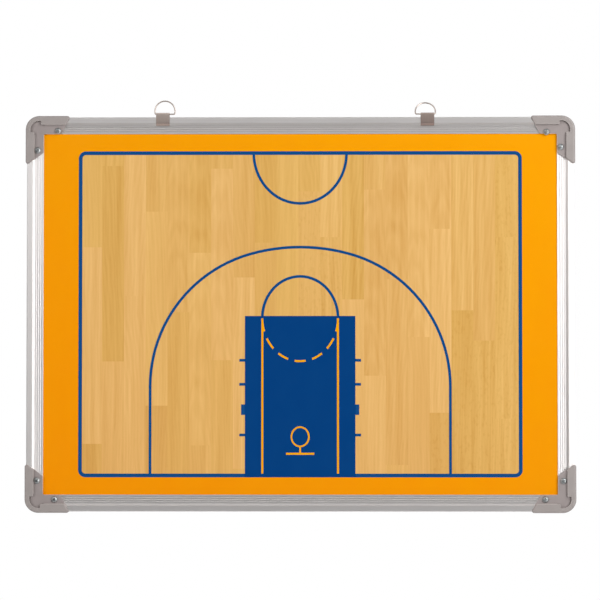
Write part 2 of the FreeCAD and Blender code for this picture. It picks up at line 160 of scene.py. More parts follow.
def softbox(name, place, size, power, unseen_by):
    """A soft lamp turned to the board, which the camera and one other kind of ray don't see."""
    lamp = bpy.data.lights.new(name, "AREA")
    lamp.shape = "RECTANGLE"
    lamp.size, lamp.size_y = size
    lamp.energy = power
    holder = new_object(name, lamp)
    holder.location = place
    holder.rotation_euler = (AIM - Vector(place)).to_track_quat("-Z", "Y").to_euler()
    for kind in ("camera", unseen_by):
        setattr(holder, "visible_" + kind, False)
    print(name, power, "W at", place)
    return holder


softbox("left_softbox", place=(-1.70, -1.50, 0.40), size=(1.0, 1.4), power=18.5, unseen_by="glossy")
softbox("right_softbox", place=(1.30, -1.40, 0.95), size=(1.0, 1.4), power=29.5, unseen_by="glossy")
softbox("back_softbox", place=(0.60, 2.20, 1.40), size=(1.6, 1.2), power=45, unseen_by="glossy")
right_card = softbox("right_card", place=(1.40, -1.35, 0.50), size=(1.0, 2.1), power=29, unseen_by="diffuse")
softbox("top_card", place=(0.0, -0.90, 1.30), size=(1.8, 0.5), power=2.8, unseen_by="diffuse")

# %% [markdown]
# To a viewer on the left, level metal would mirror the right card as pure white, and the gloss of the print
# would show it as haze. The card could be made smaller, but the upright rails need all of it. A photographer
# sets a small black flag between card and piece, and light linking does that here.

# %% Flag
LEVEL_METAL = ("top_rail", "bottom_rail", "left_clip", "right_clip")
PRINT = ("border_print", "court_lines", "lane_lines")
flagged = bpy.data.collections.new("flagged_from_right_card")
right_card.light_linking.receiver_collection = flagged


def flag(*pieces):
    """Keeps the right card off some pieces."""
    for piece in pieces:
        flagged.objects.link(piece)
    for member in flagged.collection_objects:
        member.light_linking.link_state = "EXCLUDE"


flag(*[nodes[name] for name in LEVEL_METAL + PRINT])

# %% [markdown]
# ## Stage
# A glossy board that faces the camera mirrors whatever stands behind the camera, so a photographer hangs a
# dark cloth there, and the print keeps its deep colours. More sheets of it shade the metal. One sweeps
# forward over the floor and one hangs over the board as a canopy, and these keep the level rails grey. A low
# wing on the left greys the lower end of the left rail, and a screen on the right greys the right rail's
# outer side. Only reflections see the cloth. The board hangs, so the floor lies below the picture. It answers
# near white to the camera, and keeps the board's shadow.

# %% Sheets of dark cloth
CLOTH_BACK, CLOTH_FRONT = -2.9, -0.85
CLOTH_FOOT, CLOTH_TOP = -0.85, 0.95
CLOTH_LEFT, CLOTH_RIGHT = -1.7, 0.85
SHOULDER_LEFT, SHOULDER_TOP = -1.0, 0.6
WING_LEFT, WING_FRONT, WING_TOP = -2.2, -0.7, 0.45
CANOPY_SIDE, CANOPY_FRONT, CANOPY_BACK, CANOPY_HEIGHT = 1.5, -0.7, 0.9, 1.9
SCREEN_RIGHT, SCREEN_FRONT, SCREEN_BACK, SCREEN_TOP = 1.6, -0.40, 1.9, 1.3

backdrop = [(x, CLOTH_BACK, z) for x, z in (
    (CLOTH_LEFT, CLOTH_FOOT), (CLOTH_RIGHT, CLOTH_FOOT), (CLOTH_RIGHT, CLOTH_TOP),
    (SHOULDER_LEFT, CLOTH_TOP), (SHOULDER_LEFT, SHOULDER_TOP), (CLOTH_LEFT, WING_TOP))]
sweep = [(x, y, CLOTH_FOOT) for x, y in (
    (CLOTH_RIGHT, CLOTH_BACK), (CLOTH_LEFT, CLOTH_BACK),
    (CLOTH_LEFT, CLOTH_FRONT), (CLOTH_RIGHT, CLOTH_FRONT))]
wing = [(CLOTH_LEFT, CLOTH_BACK, CLOTH_FOOT), (CLOTH_LEFT, CLOTH_BACK, WING_TOP),
        (WING_LEFT, WING_FRONT, WING_TOP), (WING_LEFT, WING_FRONT, CLOTH_FOOT)]
canopy = [(x, y, CANOPY_HEIGHT) for x, y in (
    (-CANOPY_SIDE, CANOPY_FRONT), (CANOPY_SIDE, CANOPY_FRONT),
    (CANOPY_SIDE, CANOPY_BACK), (-CANOPY_SIDE, CANOPY_BACK))]
screen = [(SCREEN_RIGHT, y, z) for y, z in (
    (SCREEN_FRONT, CLOTH_FOOT), (SCREEN_BACK, CLOTH_FOOT),
    (SCREEN_BACK, SCREEN_TOP), (SCREEN_FRONT, SCREEN_TOP))]
corners, faces = [], []
for sheet in (backdrop, sweep, wing, canopy, screen):
    faces.append(range(len(corners), len(corners) + len(sheet)))
    corners += sheet
print("dark cloth:", len(faces), "sheets,", len(corners), "corners")

# %% Dark cloth
def new_material(name):
    """A material with one glossy shader, and the place on the object that its patterns read."""
    material = bpy.data.materials.new(name)
    tree = empty_tree(material)
    shader = add(tree, "ShaderNodeBsdfPrincipled")
    add(tree, "ShaderNodeOutputMaterial", {"Surface": shader})
    place = add(tree, "ShaderNodeTexCoord").outputs["Object"]
    return material, tree, shader, place


mesh = bpy.data.meshes.new("dark_cloth")
mesh.from_pydata(corners, [], faces)
material, tree, shader, _ = new_material("black_cloth")
fill(tree, shader, {"Base Color": "#161616", "Roughness": 1.0})
mesh.materials.append(material)
cloth = new_object("dark_cloth", mesh)
for kind in ("camera", "diffuse", "transmission", "shadow", "volume_scatter"):
    setattr(cloth, "visible_" + kind, False)
print("stage:", cloth.name, len(mesh.polygons), "faces")

# %% Floor
FLOOR_DROP = 0.9
FLOOR_SIZE = 4.0
FLOOR_GLOW = 0.85

bpy.ops.mesh.primitive_plane_add(size=FLOOR_SIZE, location=(0, 0, -FLOOR_DROP))
floor = bpy.context.object
floor.name = "pale_floor"
material = bpy.data.materials.new("white_paper_floor")
tree = empty_tree(material)
paper = add(tree, "ShaderNodeBsdfDiffuse", {"Color": "#E8E8E8"})
shade = add(tree, "ShaderNodeBsdfDiffuse", {"Color": "#A0A0A0"})
glow = add(tree, "ShaderNodeEmission", {"Color": WHITE, "Strength": FLOOR_GLOW})
seen = add(tree, "ShaderNodeAddShader", {0: shade, 1: glow})
both = add(tree, "ShaderNodeMixShader", {0: seen_directly(tree), 1: paper, 2: seen})
add(tree, "ShaderNodeOutputMaterial", {"Surface": both})
floor.data.materials.append(material)
print("stage:", floor.name, FLOOR_SIZE, "m")

# %% [markdown]
# ## Rails
# The rails are extruded aluminium, satin anodised. Their shape follows from the die and is exact in CAD, so
# only the finish is added. The die leaves fine lines along each rail, which spread a reflection across the
# rail: the upright rails gather the white cards and the room at both sides and look white, and the level
# ones, which spread light up and down, stay grey. The lines could be a bump, but they are finer than a pixel,
# so an anisotropic shader does it, with its tangent laid across them. Real surfaces are never quite even, so
# every finish of the board reads some noise, and the size of its patches is given in millimetres.

# %% Noise and dressing
def mottle(tree, place, patch, detail=2.0):
    """Noise whose patches have the given sizes along X, Y and Z, in millimetres."""
    fineness = tuple(1 / (size * MM) for size in patch)
    spread = add(tree, "ShaderNodeVectorMath", {0: place, 1: fineness}, operation="MULTIPLY")
    return add(tree, "ShaderNodeTexNoise", {"Vector": spread, "Scale": 1.0, "Detail": detail})


def dress(material, *names):
    """Gives CAD nodes a finish."""
    for name in names:
        mesh = nodes[name].data
        mesh.materials.clear()
        mesh.materials.append(material)
    print(material.name, "on", len(names), "nodes")


# %% Rails
LEVEL, UPRIGHT = (1, 0, 0), (0, 0, 1)
# Real die lines are a fraction of a millimetre wide: here they are drawn at 3.2 mm, so that they show
DIE_LINE, DIE_RUN = 3.2, 4000
GROOVE_REACH = 1.5 * MM
GROOVE_SHADE, LIT_SIDE_GROOVE_SHADE = "#D6D0CE", "#EAE5E3"


def satin_aluminium(name, along, shade_colour):
    """Anodised aluminium with die lines: a soft metal sheen, drawn out across the rail, and painted shade in
    its grooves.
    """
    material, tree, shader, place = new_material(name)
    streaks = mottle(tree, place, [DIE_RUN if share else DIE_LINE for share in along])
    die_lined = add(tree, "ShaderNodeMix", {"Factor": streaks, "A": "#EBE6E4", "B": "#F5F2F1"}, data_type="RGBA")
    # Painted shade darkens the grooves of the lip and the foot of the slope, where less light reaches
    open_air = add(tree, "ShaderNodeAmbientOcclusion", {"Distance": GROOVE_REACH}, samples=8, only_local=True)
    unshaded = add(tree, "ShaderNodeMapRange", {
        "Value": open_air.outputs["AO"], "From Min": 0.6, "From Max": 0.95})
    tint = add(tree, "ShaderNodeMix", {"Factor": unshaded, "A": shade_colour, "B": die_lined}, data_type="RGBA")
    worn = mottle(tree, place, (30, 30, 30))
    rough = add(tree, "ShaderNodeMix", {"Factor": worn, "A": 0.46, "B": 0.54})
    outward = add(tree, "ShaderNodeNewGeometry").outputs["Normal"]
    across = add(tree, "ShaderNodeVectorMath", {0: outward, 1: along}, operation="CROSS_PRODUCT")
    fill(tree, shader, {"Base Color": tint, "Metallic": 1.0, "Roughness": rough})
    fill(tree, shader, {"Anisotropic": 0.9, "Tangent": across})
    return material


dress(satin_aluminium("satin_aluminium_level", LEVEL, GROOVE_SHADE), "top_rail", "bottom_rail")
dress(satin_aluminium("satin_aluminium_left", UPRIGHT, GROOVE_SHADE), "left_rail")
# The right rail, on the side of the stronger light, gets a lighter painted shade in its grooves
dress(satin_aluminium("satin_aluminium_right", UPRIGHT, LIT_SIDE_GROOVE_SHADE), "right_rail")

# %% [markdown]
# ## Corner caps
# Each cap is one moulding of warm-grey ABS. Its mould was spark eroded, which gives plastic a fine, dull
# grain, and the rim that stands proud is smoother than the sunk flange. Shade is painted on the flange, which
# is darker, and the rim is painted paler. That could be painted on by hand, but depth tells the two apart:
# the rim is what lies nearest to the front or the back. In the same way the shader finds inner corners, where
# it paints shade, and edges, where it paints a highlight, from how much is open round them.

# %% Corner caps
CORNERS = ("top_left", "top_right", "bottom_left", "bottom_right")
RIM_DEPTH = -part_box("top_left_cap")[0][1]
RIM_STEP = 2.5 * MM
STEP_SHADE_REACH = 1.6 * MM
EDGE_HIGHLIGHT_REACH = 1.0 * MM


def moulded_abs():
    """Grainy grey plastic, rougher where sunk: painted shade in recesses, a painted paler rim and edges."""
    material, tree, shader, place = new_material("moulded_grey_abs")
    depth = add(tree, "ShaderNodeSeparateXYZ", {"Vector": place}).outputs["Y"]
    from_middle = add(tree, "ShaderNodeMath", {0: depth}, operation="ABSOLUTE")
    on_proud_rim = add(tree, "ShaderNodeMapRange", {
        "Value": from_middle, "From Min": RIM_DEPTH - RIM_STEP, "From Max": RIM_DEPTH})
    cloud = mottle(tree, place, (14, 14, 14))
    # The sunk flange is painted darker, as shade in the recess, and the proud rim paler
    dull = add(tree, "ShaderNodeMix", {"Factor": cloud, "A": "#8F8583", "B": "#9B918F"}, data_type="RGBA")
    pale = add(tree, "ShaderNodeMix", {"Factor": cloud, "A": "#968E8B", "B": "#A19996"}, data_type="RGBA")
    tint = add(tree, "ShaderNodeMix", {"Factor": on_proud_rim, "A": dull, "B": pale}, data_type="RGBA")
    # Painted shade darkens the foot of the step, and a painted highlight makes the edges paler
    open_air = add(tree, "ShaderNodeAmbientOcclusion", {"Distance": STEP_SHADE_REACH}, samples=8, only_local=True)
    step_shade = add(tree, "ShaderNodeMapRange", {
        "Value": open_air.outputs["AO"], "From Min": 0.35, "From Max": 0.8, "To Min": 0.6, "To Max": 0.0})
    step_shaded = add(tree, "ShaderNodeMix", {"Factor": step_shade, "A": tint, "B": "#5E5651"}, data_type="RGBA")
    # A painted highlight: edges, found from inside the solid, turn paler
    bulk = add(tree, "ShaderNodeAmbientOcclusion", {"Distance": EDGE_HIGHLIGHT_REACH}, samples=8, only_local=True,
               inside=True)
    edge = add(tree, "ShaderNodeMapRange", {
        "Value": bulk.outputs["AO"], "From Min": 0.5, "From Max": 0.85, "To Min": 0.7, "To Max": 0.0})
    worn = add(tree, "ShaderNodeMix", {"Factor": edge, "A": step_shaded, "B": "#BFB6B2"}, data_type="RGBA")
    rough = add(tree, "ShaderNodeMix", {"Factor": on_proud_rim, "A": 0.6, "B": 0.42})
    # Real eroded grain is 0.1 mm across: here it is drawn at 0.8 mm, so that it shows
    grain = mottle(tree, place, (0.8, 0.8, 0.8), detail=3)
    pits = add(tree, "ShaderNodeBump", {"Strength": 0.25, "Distance": 0.15 * MM, "Height": grain})
    fill(tree, shader, {"Base Color": worn, "Roughness": rough, "Normal": pits})
    return material


dress(moulded_abs(), *[corner + "_cap" for corner in CORNERS])

# %% [markdown]
# ## Screws
# Eight bright zinc screws hold the caps: a pan head with a cross recess, and a plain shank with a point. One
# screw could be modelled and copied by hand, but what repeats is a job for geometry nodes. The tree builds
# the screw from named sizes, cuts its recess, and sets one at each place with its own turn. The places come
# from the CAD screws.

# %% Screw places
MERGE = 0.001 * MM
SCREW_SIZES = {
    "Head radius": 3.5 * MM,
    "Head height": 2.3 * MM,
    "Head edge": 0.6 * MM,
    "Shank radius": 1.45 * MM,
    "Shank length": 7.3 * MM,
    "Point length": 2.2 * MM,
    "Recess length": 3.6 * MM,
    "Recess width": 1.0 * MM,
    "Recess depth": 1.2 * MM,
}
SCREW_NODES = [corner + "_screws" for corner in CORNERS]


def merged(node):
    """A bmesh copy of a CAD node, whose loose triangles are joined."""
    bm = bmesh.new()
    bm.from_mesh(nodes[node].data)
    bmesh.ops.remove_doubles(bm, verts=bm.verts, dist=MERGE)
    return bm


def solids_in(bm):
    """The vertices of each separate solid."""
    left = set(bm.verts)
    while left:
        group = [left.pop()]
        for vert in group:
            near = {edge.other_vert(vert) for edge in vert.link_edges} & left
            left -= near
            group.extend(near)
        yield group


places = []
for node in SCREW_NODES:
    bm = merged(node)
    for group in solids_in(bm):
        low = Vector([min(vert.co[axis] for vert in group) for axis in range(3)])
        high = Vector([max(vert.co[axis] for vert in group) for axis in range(3)])
        places.append(((low.x + high.x) / 2, low.y + SCREW_SIZES["Head height"], (low.z + high.z) / 2))
    bm.free()
places.sort()
print("screws:", [[round(c / MM, 1) for c in place] for place in places])

# %% Screw tree: inputs
screws = bpy.data.node_groups.new("pan_head_screws", "GeometryNodeTree")
screws.interface.new_socket("Places", in_out="INPUT", socket_type="NodeSocketGeometry")
for name in SCREW_SIZES:
    screws.interface.new_socket(name, in_out="INPUT", socket_type="NodeSocketFloat")
screws.interface.new_socket("Metal", in_out="INPUT", socket_type="NodeSocketMaterial")
screws.interface.new_socket("Screws", in_out="OUTPUT", socket_type="NodeSocketGeometry")
size = add(screws, "NodeGroupInput").outputs
print("screw tree:", [socket.name for socket in screws.interface.items_tree])

# %% Screw tree: head
ROUND_STEPS = 40
DOME_RINGS = 8
SHOULDER = 3.0
# A flat disc whose upper face swells to a dome, steep at the shoulder and flat in the middle
disc = add(screws, "GeometryNodeMeshCylinder", {
    "Vertices": ROUND_STEPS, "Side Segments": 1, "Fill Segments": DOME_RINGS,
    "Radius": size["Head radius"], "Depth": size["Head edge"]}, fill_type="TRIANGLE_FAN")
spot = add(screws, "GeometryNodeInputPosition")
flat_spot = add(screws, "ShaderNodeVectorMath", {0: spot, 1: (1, 1, 0)}, operation="MULTIPLY")
radius = add(screws, "ShaderNodeVectorMath", {0: flat_spot}, operation="LENGTH")
share = add(screws, "ShaderNodeMath", {0: radius, 1: size["Head radius"]}, operation="DIVIDE")
fall = add(screws, "ShaderNodeMath", {0: share, 1: SHOULDER}, operation="POWER")
crown = add(screws, "ShaderNodeMath", {0: size["Head height"], 1: size["Head edge"]}, operation="SUBTRACT")
drop = add(screws, "ShaderNodeMath", {0: crown, 1: fall}, operation="MULTIPLY")
swell = add(screws, "ShaderNodeMath", {0: crown, 1: drop}, operation="SUBTRACT")
rise = add(screws, "ShaderNodeCombineXYZ", {"Z": swell})
dome = add(screws, "GeometryNodeSetPosition", {
    "Geometry": disc, "Selection": disc.outputs["Top"], "Offset": rise})
half_edge = add(screws, "ShaderNodeMath", {0: size["Head edge"], 1: 0.5}, operation="MULTIPLY")
lift = add(screws, "ShaderNodeCombineXYZ", {"Z": half_edge})
head = add(screws, "GeometryNodeTransform", {"Geometry": dome, "Translation": lift})
print("screw head:", len(screws.nodes), "nodes")

# %% Screw tree: shank and point
# The shank starts inside the head and ends in a cone
shank_start = add(screws, "ShaderNodeMath", {0: size["Shank length"], 1: size["Head edge"]}, operation="ADD")
shank = add(screws, "GeometryNodeMeshCylinder", {
    "Vertices": ROUND_STEPS, "Radius": size["Shank radius"], "Depth": shank_start})
shank_middle = add(screws, "ShaderNodeMath", {0: size["Shank length"], 1: -0.5}, operation="MULTIPLY")
shank_lift = add(screws, "ShaderNodeMath", {0: shank_middle, 1: half_edge}, operation="ADD")
shank_move = add(screws, "ShaderNodeCombineXYZ", {"Z": shank_lift})
shank_set = add(screws, "GeometryNodeTransform", {"Geometry": shank, "Translation": shank_move})
cone = add(screws, "GeometryNodeMeshCone", {
    "Vertices": ROUND_STEPS, "Radius Top": size["Shank radius"], "Radius Bottom": 0.0,
    "Depth": size["Point length"]})
cone_drop = add(screws, "ShaderNodeMath", {0: size["Shank length"], 1: size["Point length"]}, operation="ADD")
cone_down = add(screws, "ShaderNodeMath", {0: cone_drop, 1: -1.0}, operation="MULTIPLY")
cone_move = add(screws, "ShaderNodeCombineXYZ", {"Z": cone_down})
cone_set = add(screws, "GeometryNodeTransform", {"Geometry": cone, "Translation": cone_move})
solid = add(screws, "GeometryNodeMeshBoolean", {"Mesh 2": [head, shank_set, cone_set]},
            operation="UNION", solver="EXACT")
print("with shank and point:", len(screws.nodes), "nodes")

# %% Screw tree: recess
# The cross recess is two bars that reach the same depth below the top of the head
double_depth = add(screws, "ShaderNodeMath", {0: size["Recess depth"], 1: 2.0}, operation="MULTIPLY")
top = add(screws, "ShaderNodeCombineXYZ", {"Z": size["Head height"]})
bars = []
for long_axis, short_axis in ("XY", "YX"):
    block = add(screws, "ShaderNodeCombineXYZ", {
        long_axis: size["Recess length"], short_axis: size["Recess width"], "Z": double_depth})
    bar = add(screws, "GeometryNodeMeshCube", {"Size": block})
    bars.append(add(screws, "GeometryNodeTransform", {"Geometry": bar, "Translation": top}))
screw = add(screws, "GeometryNodeMeshBoolean", {"Mesh 1": solid, "Mesh 2": bars},
            operation="DIFFERENCE", solver="EXACT")
print("with recess:", len(screws.nodes), "nodes")

# %% Screw tree: copies
SPIN_SEED = 7
# One screw at each place, its head towards the viewer, each with its own turn
turn = add(screws, "FunctionNodeRandomValue", {"Min": 0.0, "Max": math.pi / 2, "Seed": SPIN_SEED})
turned = add(screws, "ShaderNodeCombineXYZ", {"X": math.pi / 2, "Y": turn})
facing = add(screws, "FunctionNodeEulerToRotation", {0: turned})
copies = add(screws, "GeometryNodeInstanceOnPoints", {
    "Points": size["Places"], "Instance": screw, "Rotation": facing})
real = add(screws, "GeometryNodeRealizeInstances", {"Geometry": copies})
finished = add(screws, "GeometryNodeSetMaterial", {"Geometry": real, "Material": size["Metal"]})
add(screws, "NodeGroupOutput", {"Screws": finished})
print("whole screw tree:", len(screws.nodes), "nodes")

# %% Zinc plate
def bright_zinc():
    """Zinc plate: bright, a little blue, and clouded by the bath it came from."""
    material, tree, shader, place = new_material("bright_zinc_plate")
    cloud = mottle(tree, place, (1.6, 1.6, 1.6), detail=3)
    tint = add(tree, "ShaderNodeMix", {"Factor": cloud, "A": "#969A9C", "B": "#B2B5B4"}, data_type="RGBA")
    rough = add(tree, "ShaderNodeMix", {"Factor": cloud, "A": 0.36, "B": 0.5})
    fill(tree, shader, {"Base Color": tint, "Roughness": rough, "Metallic": 1.0})
    return material


screw_inputs = dict(SCREW_SIZES, Metal=bright_zinc())
print("screw sizes in mm:", {name: round(value / MM, 2) for name, value in SCREW_SIZES.items()})

# %% Screws
SHARP_TURN = math.radians(35)


def made_mesh(maker, name):
    """The plain mesh that an object's modifiers make, as a new object at the origin."""
    graph = bpy.context.evaluated_depsgraph_get()
    mesh = bpy.data.meshes.new_from_object(maker.evaluated_get(graph))
    maker_mesh = maker.data
    bpy.data.objects.remove(maker)
    bpy.data.meshes.remove(maker_mesh)
    mesh.name = name
    return new_object(name, mesh)


def fasten(piece, slot, *replaced):
    """Lets a finished piece ride on the board in place of CAD nodes."""
    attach(piece, "board")
    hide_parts(*replaced)
    print(piece.name, "replaces", len(replaced), "nodes,", len(piece.data.polygons), "faces")


points = bpy.data.meshes.new("screw_places")
points.from_pydata(places, [], [])
maker = new_object("screw_maker", points)
modifier = maker.modifiers.new("screws", "NODES")
modifier.node_group = screws
for socket in screws.interface.items_tree:
    if socket.in_out == "INPUT" and socket.name in screw_inputs:
        modifier[socket.identifier] = screw_inputs[socket.name]
piece = made_mesh(maker, "cap_screws")
piece.data.shade_smooth()
piece.data.set_sharp_from_angle(angle=SHARP_TURN)
fasten(piece, "screw_steel", *SCREW_NODES)

# %% [markdown]
# ## Printed film
# The court is one printed film under a clear dry-erase lacquer, stuck to a steel sheet so that magnets hold.
# Lacquer is smooth, but wiping leaves soft smears in it, which show as changes of gloss. Every printed colour
# shares this coat, so one function lays it on. A picture could give the colours, but flat inks need only two
# tones each. They are never quite even: all have faint clouds, and the blue is deeper in the solid key than
# in the lines. The orange is painted yellower and brighter towards the upper right, where the light is
# stronger.

# %% Where the light and the inks change
KEY_HALF_WIDTH = 60.6 * MM
KEY_TOP = 214.6 * MM
DRIFT_WAY = Vector((0.4, 0, 1))


# Painted light: this share makes the orange and the wood print brighter towards the upper right
def up_the_board(tree, place):
    """0 at the board's lower left corner and 1 at its upper right one."""
    far = add(tree, "ShaderNodeVectorMath", {0: place, 1: DRIFT_WAY}, operation="DOT_PRODUCT")
    low, high = (DRIFT_WAY.dot(Vector(corner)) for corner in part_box("border_print"))
    return add(tree, "ShaderNodeMapRange", {"Value": far, "From Min": low, "From Max": high})


def in_the_key(tree, place):
    """1 in the solid key and 0 on the lines."""
    spot = add(tree, "ShaderNodeSeparateXYZ", {"Vector": place}).outputs
    aside = add(tree, "ShaderNodeMath", {0: spot["X"]}, operation="ABSOLUTE")
    narrow = add(tree, "ShaderNodeMath", {0: aside, 1: KEY_HALF_WIDTH}, operation="LESS_THAN")
    below = add(tree, "ShaderNodeMath", {0: spot["Z"], 1: KEY_TOP}, operation="LESS_THAN")
    return add(tree, "ShaderNodeMath", {0: narrow, 1: below}, operation="MULTIPLY")


print("solid key:", round(2 * KEY_HALF_WIDTH / MM, 1), "mm wide")

# %% Lacquered inks
DRIFT_SHARE = 0.7


def lacquer(tree, shader, place):
    """The clear coat: smooth, with a gloss that wiping has smeared."""
    smear = mottle(tree, place, (70, 70, 26), detail=3)
    rough = add(tree, "ShaderNodeMix", {"Factor": smear, "A": 0.10, "B": 0.18})
    fill(tree, shader, {"Roughness": rough, "IOR": 1.5})


def lacquered_ink(name, thin, thick, drift=None):
    """Ink under lacquer: deep colour with faint clouds, which may also drift from one place to another."""
    material, tree, shader, place = new_material(name)
    tone = mottle(tree, place, (22, 22, 34), detail=3)
    if drift:
        tone = add(tree, "ShaderNodeMix", {"Factor": DRIFT_SHARE, "A": tone, "B": drift(tree, place)})
    tint = add(tree, "ShaderNodeMix", {"Factor": tone, "A": thin, "B": thick}, data_type="RGBA")
    fill(tree, shader, {"Base Color": tint})
    lacquer(tree, shader, place)
    return material


# The orange is painted yellower and brighter towards the upper right, where the light is stronger
dress(lacquered_ink("orange_ink_under_lacquer", "#F48F00", "#F6A400", up_the_board), "border_print")
dress(lacquered_ink("blue_ink_under_lacquer", "#154D86", "#003C7B", in_the_key), "court_lines")
dress(lacquered_ink("lane_ink_under_lacquer", "#F2A000", "#FAAE00"), "lane_lines")

# %% [markdown]
# ## Wood floor print
# The field is a picture of a strip floor: planks of about 200 mm on the board, laid in columns, each end
# staggered from its neighbours. A shader could draw planks by rule alone, but then none could be told to be
# pale or dark. So the CAD plate is copied and cut at the columns and at the plank ends, and each plank's face
# carries its own tone, hue and strength of figure, and its own stretch of wood, for the shader to read.

# %% Cut the planks
COLUMN_WIDTH = 23.82 * MM
PLANK_LENGTH = 214.5 * MM
PLANK_TAPER = 0.87 * MM
FLAT = math.radians(1)
# How far below the head of the court each column's first plank ends, in millimetres
FIRST_ENDS = (103, 14, 156, 64, 174, 109, 17, 136, 98, 186, 42, 92, 160, 40, 138, 201, 83, 172, 205, 92, 130)
floor_low, floor_high = (Vector(corner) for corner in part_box("floor_print"))


def bisect(bm, faces, point, direction):
    """Cuts some faces along a plane; what lies beside them stays joined."""
    parts = set(faces)
    for face in faces:
        parts.update(face.edges)
        parts.update(face.verts)
    bmesh.ops.bisect_plane(bm, geom=list(parts), plane_co=point, plane_no=direction, dist=MERGE)


def column_of(face):
    """The number of the column that a face lies in, from the left."""
    return int((face.calc_center_median().x - floor_low.x) / COLUMN_WIDTH)


def plank_length(column):
    """The picture of the floor tapers: each column's planks are shorter than those on its left."""
    return PLANK_LENGTH - column * PLANK_TAPER


bm = merged("floor_print")
bmesh.ops.dissolve_limit(bm, angle_limit=FLAT, verts=bm.verts, edges=bm.edges)
for column in range(1, len(FIRST_ENDS)):
    bisect(bm, bm.faces[:], (floor_low.x + column * COLUMN_WIDTH, 0, 0), (1, 0, 0))
for column, first_end in enumerate(FIRST_ENDS):
    end = floor_high.z - first_end * MM
    while end > floor_low.z:
        bisect(bm, [face for face in bm.faces if column_of(face) == column], (0, 0, end), (0, 0, 1))
        end -= plank_length(column)
print("floor print:", len(FIRST_ENDS), "columns,", len(bm.faces), "faces")

# %% Planks that stand out
# Some planks differ in tone, some in hue and some in figure: each is its column and its number from the top
DARK_PLANKS = ((0, 2), (1, 1), (3, 2), (8, 0), (12, 0), (16, 2), (17, 1))
PALE_PLANKS = ((0, 1), (2, 0), (2, 1), (3, 1), (5, 1), (6, 1), (7, 1), (11, 0), (12, 1), (13, 2), (15, 0),
               (16, 1))
OLIVE_PLANKS = ((0, 0), (1, 0), (1, 1), (8, 0), (9, 0), (10, 0), (12, 0), (17, 1), (18, 1), (19, 0),
                (19, 1), (19, 2), (20, 0), (20, 1))
ROSY_PLANKS = ((0, 1), (1, 2), (2, 0), (2, 1), (6, 1), (7, 1), (12, 1), (13, 1), (13, 2), (14, 0), (14, 1),
               (15, 0), (15, 1), (16, 0), (16, 1))
ARCHED_PLANKS = ((4, 0), (5, 0), (6, 1), (13, 1), (14, 0), (15, 0), (16, 0), (5, 1))
FLECKED_PLANKS = ((10, 1), (11, 1), (16, 2), (17, 1), (18, 1), (19, 0), (19, 1), (19, 2))
print("planks that stand out by tone:", len(DARK_PLANKS), "dark,", len(PALE_PLANKS), "pale")

# %% Choose each plank's wood
DARK_TONE, PALE_TONE, MIDDLE_TONES = 0.36, 0.76, (0.48, 0.64)
OLIVE_HUE, ROSY_HUE, MIDDLE_HUES = 0.1, 0.9, (0.3, 0.7)
# Where the heart of the trunk lies from the middle of a plank, in millimetres
HEART_NEAR, HEART_FAR = (-4, 4), (22, 60)
HEART_DEPTHS, HEART_HEIGHTS = (4, 16), (-200, 100)
FULL_FIGURE, PLAIN_FIGURES = 1.0, (0.5, 1.0)
PLANKS_IN_COLUMN = 3
WOOD_SEED = 23

dice = random.Random(WOOD_SEED)
planks = {}
for column in range(len(FIRST_ENDS)):
    middle = floor_low.x + (column + 0.5) * COLUMN_WIDTH
    for plank in [(column, number) for number in range(PLANKS_IN_COLUMN)]:
        tone = dice.uniform(*MIDDLE_TONES)
        if plank in DARK_PLANKS:
            tone = DARK_TONE
        elif plank in PALE_PLANKS:
            tone = PALE_TONE
        if plank in OLIVE_PLANKS:
            hue = OLIVE_HUE
        elif plank in ROSY_PLANKS:
            hue = ROSY_HUE
        else:
            hue = dice.uniform(*MIDDLE_HUES)
        arched = plank in ARCHED_PLANKS
        aside = dice.uniform(*HEART_NEAR) if arched else dice.choice((-1, 1)) * dice.uniform(*HEART_FAR)
        heart = aside * MM - middle, dice.uniform(*HEART_DEPTHS) * MM, dice.uniform(*HEART_HEIGHTS) * MM
        figure = FULL_FIGURE if arched else dice.uniform(*PLAIN_FIGURES)
        planks[plank] = (tone, figure, hue, float(plank in FLECKED_PLANKS)), heart
print("planks to choose from:", len(planks))

# %% Mark the planks
TRAITS = ("plank_tone", "plank_figure", "plank_hue", "plank_fleck")

owners = []
for face in bm.faces:
    column = column_of(face)
    below_head = floor_high.z - face.calc_center_median().z
    number = math.ceil((below_head - FIRST_ENDS[column] * MM) / plank_length(column))
    owners.append(planks[column, max(number, 0)])
mesh = bpy.data.meshes.new("wood_floor_print")
bm.to_mesh(mesh)
bm.free()
for name in TRAITS:
    mesh.attributes.new(name, "FLOAT", "FACE")
mesh.attributes.new("plank_heart", "FLOAT_VECTOR", "FACE")
for index, (traits, heart) in enumerate(owners):
    for name, value in zip(TRAITS, traits):
        mesh.attributes[name].data[index].value = value
    mesh.attributes["plank_heart"].data[index].vector = heart
print("planks:", len(set(owners)), "on", len(mesh.polygons), "faces")

# %% [markdown]
# The figure of each plank is that of a sawn board. Year rings are tubes round the heart of the trunk, so on a
# board they run as long lines, or as arches where the cut passes near the heart. A wave texture could draw
# the lines, but the distance from a heart line that leans a little gives both. Fine streaks along the plank,
# dark flecks on some planks, and a few darker pores are noise.

# %% Year rings
RING_SPACING = 3.4 * MM
RING_BEND = 2.5
HEART_LEAN = 0.09


